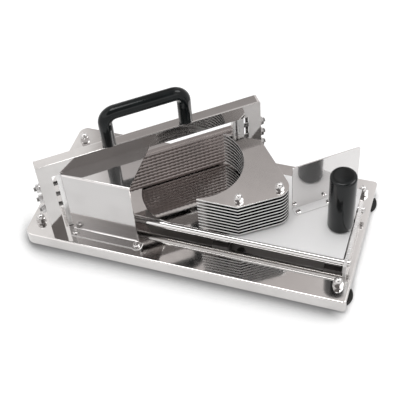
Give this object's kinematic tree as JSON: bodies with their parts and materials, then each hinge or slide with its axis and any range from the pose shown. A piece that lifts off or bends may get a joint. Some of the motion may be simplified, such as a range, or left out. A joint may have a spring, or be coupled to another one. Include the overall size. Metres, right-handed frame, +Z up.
{
  "type": "tomato slicer",
  "caption": "Hand-pushed tomato slicer: polished tray on rubber feet, diagonal frame with a stack of level blades, and a sliding plate pusher with grip, shield and carry handle.",
  "frame": {"origin": "on the table under the middle of the tray", "axes": "+X along the tray towards the push grip's rest end, +Y from the operator's front side to the back, +Z up"},
  "size_m": [0.439, 0.2043, 0.2023],
  "materials": {
    "polished_steel": "mirror polished stainless sheet with fine hairlines",
    "satin_steel": "satin ground stainless bar",
    "blade_steel": "ground and honed stainless strip",
    "fastener_steel": "bright stainless fasteners",
    "rod_chrome": "hard chromed round bar",
    "black_gloss": "glossy moulded black plastic",
    "black_rubber": "matt black rubber",
    "slide_plastic": "machined black sliding plastic"
  },
  "bodies": {
    "stand": {"base_tray": "polished_steel", "rubber_feet": "black_rubber", "foot_studs": "fastener_steel", "foot_washers": "fastener_steel", "foot_acorn_nuts": "fastener_steel", "front_rod": "rod_chrome", "rear_rod": "rod_chrome", "left_rod_bracket": "polished_steel", "right_rod_bracket": "polished_steel", "rod_screws": "fastener_steel", "bracket_screws": "fastener_steel", "portal_frame": "polished_steel", "frame_screws": "fastener_steel", "left_blade_bar": "satin_steel", "right_blade_bar": "satin_steel", "blade_pins": "fastener_steel", "tension_studs": "fastener_steel", "tension_washers": "fastener_steel", "tension_nuts": "fastener_steel", "carry_handle": "black_gloss", "handle_screws": "fastener_steel", "corner_guard": "polished_steel", "guard_screws": "fastener_steel", "blade_1": "blade_steel", "blade_2": "blade_steel", "blade_3": "blade_steel", "blade_4": "blade_steel", "blade_5": "blade_steel", "blade_6": "blade_steel", "blade_7": "blade_steel", "blade_8": "blade_steel", "blade_9": "blade_steel", "blade_10": "blade_steel", "blade_11": "blade_steel"},
    "carriage": {"carriage_plate": "polished_steel", "block_screws": "fastener_steel", "stack_spacers": "fastener_steel", "stack_studs": "fastener_steel", "stack_washers": "fastener_steel", "stack_acorn_nuts": "fastener_steel", "stack_lock_nuts": "fastener_steel", "hand_shield": "polished_steel", "shield_rivets": "fastener_steel", "push_grip": "black_gloss", "grip_screw": "fastener_steel", "slide_block_1": "slide_plastic", "slide_block_2": "slide_plastic", "slide_block_3": "slide_plastic", "slide_block_4": "slide_plastic", "pusher_plate_1": "polished_steel", "pusher_plate_2": "polished_steel", "pusher_plate_3": "polished_steel", "pusher_plate_4": "polished_steel", "pusher_plate_5": "polished_steel", "pusher_plate_6": "polished_steel", "pusher_plate_7": "polished_steel", "pusher_plate_8": "polished_steel", "pusher_plate_9": "polished_steel", "pusher_plate_10": "polished_steel"}
  },
  "joints": [
    {"name": "carriage_slide", "type": "slide", "parent": "stand", "child": "carriage", "axis": [-1, 0, 0], "range_m": [0, 0.15]}
  ]
}
